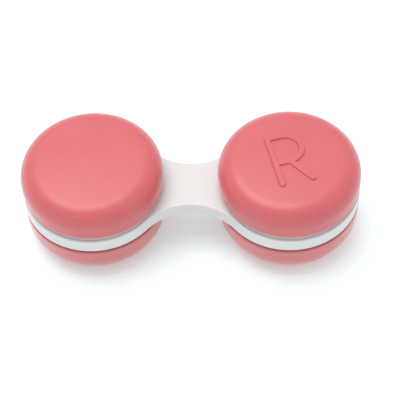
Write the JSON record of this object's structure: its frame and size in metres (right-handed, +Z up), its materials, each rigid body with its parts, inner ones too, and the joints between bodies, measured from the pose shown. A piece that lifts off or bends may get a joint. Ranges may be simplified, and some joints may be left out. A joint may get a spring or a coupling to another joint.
{
  "type": "contact lens case",
  "caption": "Contact lens case with domed screw caps over threaded wells on a waisted plate, and lower shells snapped on beneath.",
  "frame": {"origin": "centre of the footprint at table height", "axes": "+X from the left cup to the right cup, +Y towards the back, +Z up along the screw axes"},
  "size_m": [0.0714, 0.03, 0.0223],
  "materials": {
    "white_plastic": "moulded polypropylene, satin",
    "pink_shell": "soft-touch matte coating over moulded plastic",
    "pink_cap": "soft-touch matte coating over moulded plastic",
    "liner_plastic": "moulded polypropylene, satin",
    "silicone": "translucent silicone, matte"
  },
  "bodies": {
    "case": {"case_body": "white_plastic", "left_lower_shell": "pink_shell", "right_lower_shell": "pink_shell"},
    "left_seal_ring": {"left_seal": "silicone"},
    "left_cap_unit": {"left_cap_liner": "liner_plastic", "left_cap": "pink_cap"},
    "right_seal_ring": {"right_seal": "silicone"},
    "right_cap_unit": {"right_cap_liner": "liner_plastic", "right_cap": "pink_cap"}
  },
  "joints": [
    {"name": "left_cap_lift", "type": "slide", "parent": "case", "child": "left_seal_ring", "axis": [0, 0, 1], "range_m": [0, 0.005]},
    {"name": "left_cap_turn", "type": "hinge", "parent": "left_seal_ring", "child": "left_cap_unit", "pos_m": [-0.0207, 0, 0.0136], "axis": [0, 0, 1], "range_deg": [0, 600]},
    {"name": "right_cap_lift", "type": "slide", "parent": "case", "child": "right_seal_ring", "axis": [0, 0, 1], "range_m": [0, 0.005]},
    {"name": "right_cap_turn", "type": "hinge", "parent": "right_seal_ring", "child": "right_cap_unit", "pos_m": [0.0207, 0, 0.0136], "axis": [0, 0, 1], "range_deg": [0, 600]}
  ],
  "couplings": [
    {"joint": "left_cap_lift", "follows": "left_cap_turn", "m_per_rad": 0.00047746},
    {"joint": "right_cap_lift", "follows": "right_cap_turn", "m_per_rad": 0.00047746}
  ]
}
